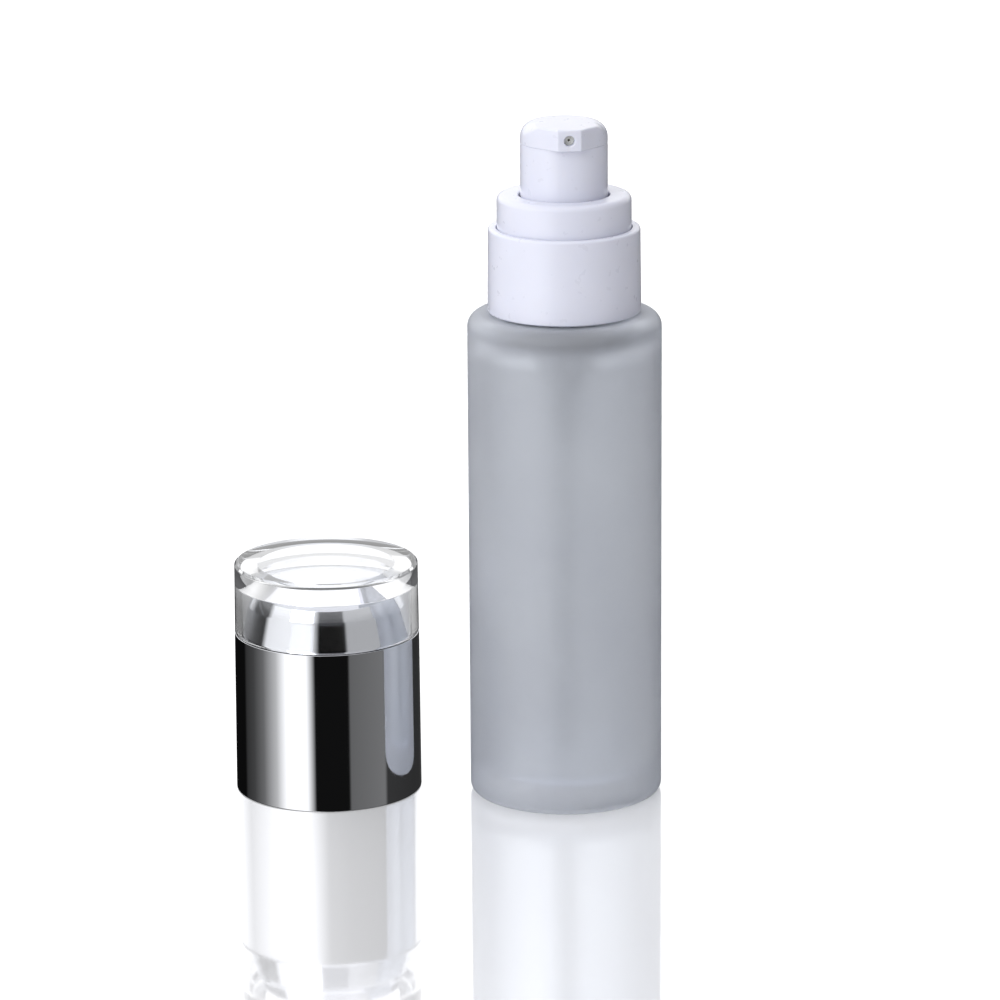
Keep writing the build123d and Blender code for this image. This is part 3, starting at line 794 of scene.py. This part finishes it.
class FOUNDATION_OT_button(bpy.types.Operator):
    """Model the push button with its nose, finger dish and outlet, and the outlet's insert"""

    bl_idname = "foundation.button"
    bl_label = "Push Button and Outlet"

    def execute(self, context):
        size = context.scene.foundation_pump
        low, high = foot("actuator"), top("actuator")
        hollow_top = high - size.button_crown
        hollow = size.button - size.button_wall
        socket = radius("stem") + size.stem_fit
        socket_top = top("stem")
        outline = rounded(
            [
                (0.0, socket_top),
                (socket, socket_top),
                (socket, low + size.boss_foot, 0.2 * MM),
                (size.boss, low + size.boss_foot, 0.2 * MM),
                (size.boss, hollow_top, 0.4 * MM),
                (hollow, hollow_top, 0.4 * MM),
                (hollow, low, 0.2 * MM),
                (size.button, low, 0.2 * MM),
                (size.button, hollow_top),
                (size.button - 0.12 * MM, hollow_top + 0.02 * MM),
                (size.button - 0.04 * MM, hollow_top + 0.05 * MM),
                (size.button, hollow_top + 0.13 * MM),
                (size.button, high, size.button_edge),
                (0.0, high),
            ],
            steps=10,
        )
        button = turned("push_button", outline, segments=2 * size.segments)
        pull_nose(button.data, size, hollow_top, high)
        combine(button, dish_cutter(size, high), "DIFFERENCE")
        outlet = high - size.outlet_drop
        mouth = radius("nozzle_insert")
        insert_front = -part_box("nozzle_insert")[0].y
        insert_back = -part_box("nozzle_insert")[1].y
        drill = turned(
            "drill",
            rounded(
                [
                    (0.0, insert_back),
                    (mouth, insert_back),
                    (mouth, size.nose_reach - MOUTH_BEVEL_DEPTH, 0.2 * MM),
                    (mouth + MOUTH_FLARE, size.nose_reach + MOUTH_FLARE - MOUTH_BEVEL_DEPTH),
                    (mouth + MOUTH_FLARE, size.nose_reach + CUT_OVERSHOOT),
                    (0.0, size.nose_reach + CUT_OVERSHOOT),
                ]
            ),
            segments=64,
        )
        laid_forward(drill, outlet)
        combine(button, drill, "DIFFERENCE")
        finish_piece(button, "actuator", white_plastic(size.tint), degrees=12.0)

        insert = turned(
            "outlet_insert",
            rounded(
                [
                    (size.orifice, insert_back),
                    (mouth, insert_back),
                    (mouth, insert_front, 0.12 * MM),
                    (size.orifice, insert_front, 0.12 * MM),
                ],
                closed=True,
            ),
            segments=64,
        )
        laid_forward(insert, outlet)
        finish_piece(insert, "nozzle_insert", insert_plastic())
        return {"FINISHED"}


class FOUNDATION_OT_cap(bpy.types.Operator):
    """Model the cap: mirror sleeve, clear crown and ribbed liner"""

    bl_idname = "foundation.cap"
    bl_label = "Cap"

    def execute(self, context):
        size = context.scene.foundation_cap
        centre = axis_of("cap_sleeve")
        wall = size.rim_wall
        rim = radius("cap_sleeve")
        sleeve_top = rim - size.draft
        dome_foot = sleeve_top - size.dome_ledge
        dome_shoulder = dome_foot - size.dome_shoulder
        dome_top = dome_foot - size.dome_top
        dome_high = top("cap_sleeve")
        shoulder_high = dome_high - size.dome_bevel
        sleeve = turned(
            "cap_mirror_sleeve",
            rounded(
                [
                    (0.0, dome_high),
                    (dome_top, dome_high, 0.12 * MM),
                    (dome_shoulder, shoulder_high, 0.5 * MM),
                    (dome_foot, size.ledge_height, 0.1 * MM),
                    (sleeve_top, size.ledge_height, 0.12 * MM),
                    (rim, 0.0, 0.15 * MM),
                    (rim - wall, 0.0, 0.15 * MM),
                    (sleeve_top - wall, size.ledge_height - wall),
                    (dome_foot - wall, size.ledge_height - wall),
                    (dome_shoulder - wall, shoulder_high),
                    (dome_top - wall, dome_high - wall),
                    (0.0, dome_high - wall),
                ]
            ),
            centre,
            size.segments,
        )
        finish_piece(sleeve, "cap_sleeve", mirror_metal(), degrees=20.0)

        low, high = foot("cap_crown"), top("cap_crown")
        crown_foot = sleeve_top - size.crown_inset
        crown_top = crown_foot - size.crown_draft
        bore = dome_foot + size.crown_bore_gap
        roof = high - size.crown_plate
        crown = turned(
            "cap_clear_crown",
            rounded(
                [
                    (0.0, high),
                    (crown_top - size.crown_bevel, high, 0.1 * MM),
                    (crown_top, high - size.crown_bevel, 0.1 * MM),
                    (crown_foot, low, 0.3 * MM),
                    (bore, low, 0.3 * MM),
                    (bore, low + size.crown_bore_height, 0.15 * MM),
                    (bore - size.crown_roof, roof, 0.1 * MM),
                    (0.0, roof),
                ]
            ),
            centre,
            size.segments,
        )
        finish_piece(crown, "cap_crown", clear_plastic(low + size.crown_bore_height, high), degrees=20.0)

        low, high = foot("cap_liner"), top("cap_liner")
        foot_radius = radius("cap_liner")
        inner_high = high - size.liner_plate
        upper_end = inner_high - size.liner_cone
        step_end = size.liner_step + size.liner - size.liner_upper
        liner = turned(
            "cap_liner_shell",
            rounded(
                [
                    (0.0, inner_high),
                    (size.liner_roof, inner_high, 0.5 * MM),
                    (size.liner_upper, upper_end, 0.8 * MM),
                    (size.liner_upper, step_end, 0.3 * MM),
                    (size.liner, size.liner_step, 0.3 * MM),
                    (size.liner, low, 0.2 * MM),
                    (foot_radius, low, 0.2 * MM),
                    (foot_radius, low + size.liner_plate, 0.2 * MM),
                    (size.liner + size.liner_wall, low + size.liner_plate, 0.3 * MM),
                    (size.liner + size.liner_wall, size.liner_step, 0.3 * MM),
                    (size.liner_upper + size.liner_wall, step_end, 0.3 * MM),
                    (size.liner_upper + size.liner_wall, upper_end, 0.8 * MM),
                    (size.liner_roof + size.liner_wall, high, 0.5 * MM),
                    (0.0, high),
                ]
            ),
            centre,
            size.segments // 2,
        )
        for index in range(size.ribs):
            angle = math.tau * index / size.ribs
            reach = size.liner - size.rib_reach + size.rib
            place = (centre[0] + reach * math.cos(angle), centre[1] + reach * math.sin(angle))
            end = size.rib_foot + size.rib_length
            rib = turned(
                "rib",
                rounded(
                    [
                        (0.0, size.rib_foot),
                        (size.rib, size.rib_foot, 0.3 * MM),
                        (size.rib, end, 0.3 * MM),
                        (0.0, end),
                    ]
                ),
                place,
                24,
            )
            combine(liner, rib, "UNION")
        finish_piece(liner, "cap_liner", liner_plastic())
        return {"FINISHED"}


WORKINGS = (
    "gasket",
    "housing",
    "stem_guide",
    "dip_tube",
    "inlet_ball",
    "spring",
    "valve_pin",
    "piston",
    "stem",
)


class FOUNDATION_OT_workings(bpy.types.Operator):
    """Finish the pump's inner parts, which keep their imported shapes"""

    bl_idname = "foundation.workings"
    bl_label = "Pump Workings"

    def execute(self, context):
        finishes = {"foam": foam(), "natural_plastic": natural_plastic(), "steel": steel()}
        for node in WORKINGS:
            piece = frame["nodes"][node]
            piece.data.materials.clear()
            piece.data.materials.append(finishes[slot_of(node)])
        return {"FINISHED"}


# ------------------------------------------------------------------ stage
def soft_light(name, place, side, power, tint=(1.0, 1.0, 1.0)):
    """A soft square lamp that points at the pieces. Mirrors see the surroundings in its stead."""
    lamp = bpy.data.lights.new(name, "AREA")
    lamp.shape = "RECTANGLE"
    lamp.size = lamp.size_y = side
    lamp.energy = power
    lamp.color = tint
    holder = bpy.data.objects.new(name, lamp)
    bpy.context.scene.collection.objects.link(holder)
    holder.location = place
    ahead = Vector(LIT_PLACE) - Vector(place)
    holder.rotation_euler = ahead.to_track_quat("-Z", "Y").to_euler()
    holder.visible_glossy = False
    holder.visible_camera = False


# The surroundings are bands of (degrees to the right of straight ahead, brightness)
# LOW_BANDS are what the mirror sleeve reflects
LOW_BANDS = (
    (-180, 0.004),
    (-131, 0.004),
    (-126, 0.035),
    (-110, 0.06),
    (-92, 0.16),
    (-72, 0.55),
    (-58, 1.25),
    (-31, 1.25),
    (-20, 0.006),
    (21, 0.006),
    (24, 0.14),
    (70, 0.19),
    (74, 0.04),
    (128, 0.03),
    (150, 0.03),
    (164, 0.05),
    (169, 0.004),
    (180, 0.004),
)
# HIGH_BANDS light the white pump and the frosted glass
HIGH_BANDS = (
    (-180, 1.20),
    (-150, 1.10),
    (-120, 0.60),
    (-90, 0.90),
    (-70, 1.15),
    (-30, 1.15),
    (-5, 0.34),
    (24, 0.24),
    (70, 0.18),
    (90, 0.16),
    (118, 0.28),
    (140, 1.10),
    (180, 1.20),
)
# CLEAR_BANDS are what shows through the crown and the glass above the horizon, and FAR_TABLE below it
CLEAR_BANDS = (
    (-180, 1.15),
    (-150, 1.05),
    (-128, 0.05),
    (-99, 0.04),
    (-91, 1.10),
    (-26, 1.15),
    (-15, 0.0),
    (20, 0.0),
    (24, 0.50),
    (108, 0.50),
    (118, 1.00),
    (180, 1.15),
)
FAR_TABLE = (
    (-180, 0.42),
    (-140, 0.22),
    (-90, 0.14),
    (-20, 0.24),
    (60, 0.50),
    (110, 0.62),
    (150, 0.56),
    (180, 0.42),
)
NEAR_TABLE = (0.62, 0.65, 0.72, 1.0)
CEILING = (0.86, 0.86, 0.90, 1.0)
# Each blend is (from, to) in the sine of the angle above the horizon
MIRROR_BLEND = (0.0, 0.12)
NEAR_TABLE_BLEND = (-0.8, -0.4)
HORIZON_BLEND = (-0.14, 0.0)
CEILING_BLEND = (0.6, 0.85)
WHITE = (1.0, 1.0, 1.0, 1.0)


def studio_surroundings():
    """A world of light and dark bands for the pieces to reflect and refract; it looks plain white itself."""
    world = bpy.data.worlds.new("Studio")
    bpy.context.scene.world = world
    world.use_nodes = True
    tree = world.node_tree
    link = tree.links.new
    direction = tree.nodes.new("ShaderNodeTexCoord").outputs["Generated"]
    split = tree.nodes.new("ShaderNodeSeparateXYZ")
    link(direction, split.inputs["Vector"])

    def calculate(operation, first, second=None):
        node = tree.nodes.new("ShaderNodeMath")
        node.operation = operation
        for socket, value in zip(node.inputs, (first, second)):
            if isinstance(value, float):
                socket.default_value = value
            elif value is not None:
                link(value, socket)
        return node.outputs["Value"]

    def bands(stops):
        node = tree.nodes.new("ShaderNodeValToRGB")
        elements = node.color_ramp.elements
        while len(elements) < len(stops):
            elements.new(0.5)
        for element, (degrees, value) in zip(elements, stops):
            element.position = degrees / 360 + 0.5
            element.color = (value, value, value, 1.0)
        link(round_turn, node.inputs["Fac"])
        return node.outputs["Color"]

    def between(source, low, high):
        node = tree.nodes.new("ShaderNodeMapRange")
        node.interpolation_type = "SMOOTHSTEP"
        node.inputs["From Min"].default_value = low
        node.inputs["From Max"].default_value = high
        link(source, node.inputs["Value"])
        return node.outputs["Result"]

    def mixed(factor, first, second):
        node = tree.nodes.new("ShaderNodeMix")
        node.data_type = "RGBA"
        link(factor, node.inputs["Factor"])
        for name, value in (("A", first), ("B", second)):
            socket = next(s for s in node.inputs if s.name == name and s.type == "RGBA")
            if isinstance(value, tuple):
                socket.default_value = value
            else:
                link(value, socket)
        return next(s for s in node.outputs if s.type == "RGBA")

    heading = calculate("ARCTAN2", split.outputs["X"], calculate("MULTIPLY", split.outputs["Y"], -1.0))
    round_turn = calculate("ADD", calculate("DIVIDE", heading, math.tau), 0.5)
    ray = tree.nodes.new("ShaderNodeLightPath").outputs
    below = calculate("SUBTRACT", 1.0, between(split.outputs["Z"], *MIRROR_BLEND))
    in_mirror = calculate("MULTIPLY", below, ray["Is Glossy Ray"])
    sides = mixed(in_mirror, bands(HIGH_BANDS), bands(LOW_BANDS))
    table = mixed(between(split.outputs["Z"], *NEAR_TABLE_BLEND), NEAR_TABLE, bands(FAR_TABLE))
    through = mixed(between(split.outputs["Z"], *HORIZON_BLEND), table, bands(CLEAR_BANDS))
    sides = mixed(ray["Is Transmission Ray"], sides, through)
    room = mixed(between(split.outputs["Z"], *CEILING_BLEND), sides, CEILING)
    seen = mixed(ray["Is Camera Ray"], room, WHITE)
    link(seen, tree.nodes["Background"].inputs["Color"])


FLOOR_SHEEN = 0.6                   # how much of the floor's light is mirrored
FLOOR_GLOW = 0.2
FLOOR_GAP = 0.02 * MM               # how far the floor lies below the pieces
LIT_PLACE = (-0.015, 0.0, 0.05)     # what both lamps point at
KEY_PLACE = (-0.75, -0.75, 0.75)
KEY_SIZE = 0.7
KEY_POWER = 4.9
KEY_TINT = (0.92, 0.95, 1.0)
TOP_PLACE = (0.0, 0.1, 1.1)
TOP_SIZE = 1.6
TOP_POWER = 2.0


class FOUNDATION_OT_stage(bpy.types.Operator):
    """Set the floor, the studio light and the camera"""

    bl_idname = "foundation.stage"
    bl_label = "Stage"

    def execute(self, context):
        size = context.scene.foundation_stage
        deselect_all()
        bpy.ops.mesh.primitive_plane_add(size=size.floor_size, location=(0.0, 0.0, -FLOOR_GAP))
        floor = context.object
        floor.name = "studio_floor"
        make = Maker("studio_floor")
        make.set(Roughness=0.04, Specular_IOR_Level=0.5)
        darker, lighter = shade(size.floor_tint, 0.99), shade(size.floor_tint, 1.01)
        make.link(make.ramp(make.noise(3.0), (0.3, darker), (0.7, lighter)), "Base Color")
        make.set(Metallic=FLOOR_SHEEN, Emission_Color=WHITE, Emission_Strength=FLOOR_GLOW)
        floor.data.materials.append(make.material)
        floor.visible_glossy = False
        floor.visible_transmission = False

        soft_light("key_light", KEY_PLACE, KEY_SIZE, KEY_POWER, KEY_TINT)
        soft_light("top_light", TOP_PLACE, TOP_SIZE, TOP_POWER)
        studio_surroundings()

        camera = bpy.data.objects.new("camera", bpy.data.cameras.new("camera"))
        context.scene.collection.objects.link(camera)
        camera.data.lens = size.lens
        camera.data.sensor_width = 36.0
        ahead = Vector(
            (
                math.sin(size.turn) * math.cos(size.dip),
                math.cos(size.turn) * math.cos(size.dip),
                -math.sin(size.dip),
            )
        )
        level_right = Vector((math.cos(size.turn), -math.sin(size.turn), 0.0))
        level_up = level_right.cross(ahead)
        right = level_right * math.cos(size.tilt) + level_up * math.sin(size.tilt)
        upward = level_up * math.cos(size.tilt) - level_right * math.sin(size.tilt)
        place = Vector((-size.eye_left, -size.eye_back, size.eye_height))
        rows = Matrix((right, upward, -ahead)).transposed().to_4x4()
        camera.matrix_world = Matrix.Translation(place) @ rows
        context.scene.camera = camera
        context.scene.view_settings.view_transform = "Standard"
        return {"FINISHED"}


# ------------------------------------------------------------------ panel and registration
class FOUNDATION_PT_panel(bpy.types.Panel):
    """Lists the pieces"""

    bl_idname = "FOUNDATION_PT_panel"
    bl_label = "Foundation Bottle"
    bl_space_type = "VIEW_3D"
    bl_region_type = "UI"
    bl_category = "Foundation Bottle"

    def draw(self, context):
        for operator in OPERATORS:
            self.layout.operator(operator.bl_idname)
        for name, group in SETTINGS.items():
            box = self.layout.box()
            for field in group.__annotations__:
                box.prop(getattr(context.scene, name), field)


SETTINGS = {
    "foundation_bottle": BottleSettings,
    "foundation_pump": PumpSettings,
    "foundation_cap": CapSettings,
    "foundation_stage": StageSettings,
}
OPERATORS = (
    FOUNDATION_OT_bottle,
    FOUNDATION_OT_rings,
    FOUNDATION_OT_button,
    FOUNDATION_OT_workings,
    FOUNDATION_OT_cap,
    FOUNDATION_OT_stage,
)


def register():
    """Register the settings, the operators and the panel."""
    for group in SETTINGS.values():
        bpy.utils.register_class(group)
    for operator in OPERATORS:
        bpy.utils.register_class(operator)
    bpy.utils.register_class(FOUNDATION_PT_panel)
    for name, group in SETTINGS.items():
        setattr(bpy.types.Scene, name, PointerProperty(type=group))


def unregister():
    """Undo register, last first."""
    for name in reversed(SETTINGS):
        delattr(bpy.types.Scene, name)
    bpy.utils.unregister_class(FOUNDATION_PT_panel)
    for operator in reversed(OPERATORS):
        bpy.utils.unregister_class(operator)
    for group in reversed(SETTINGS.values()):
        bpy.utils.unregister_class(group)


def main():
    """Model every piece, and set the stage."""
    register()
    bpy.ops.foundation.bottle()
    bpy.ops.foundation.rings()
    bpy.ops.foundation.button()
    bpy.ops.foundation.workings()
    bpy.ops.foundation.cap()
    bpy.ops.foundation.stage()


if __name__ == "__main__":
    main()
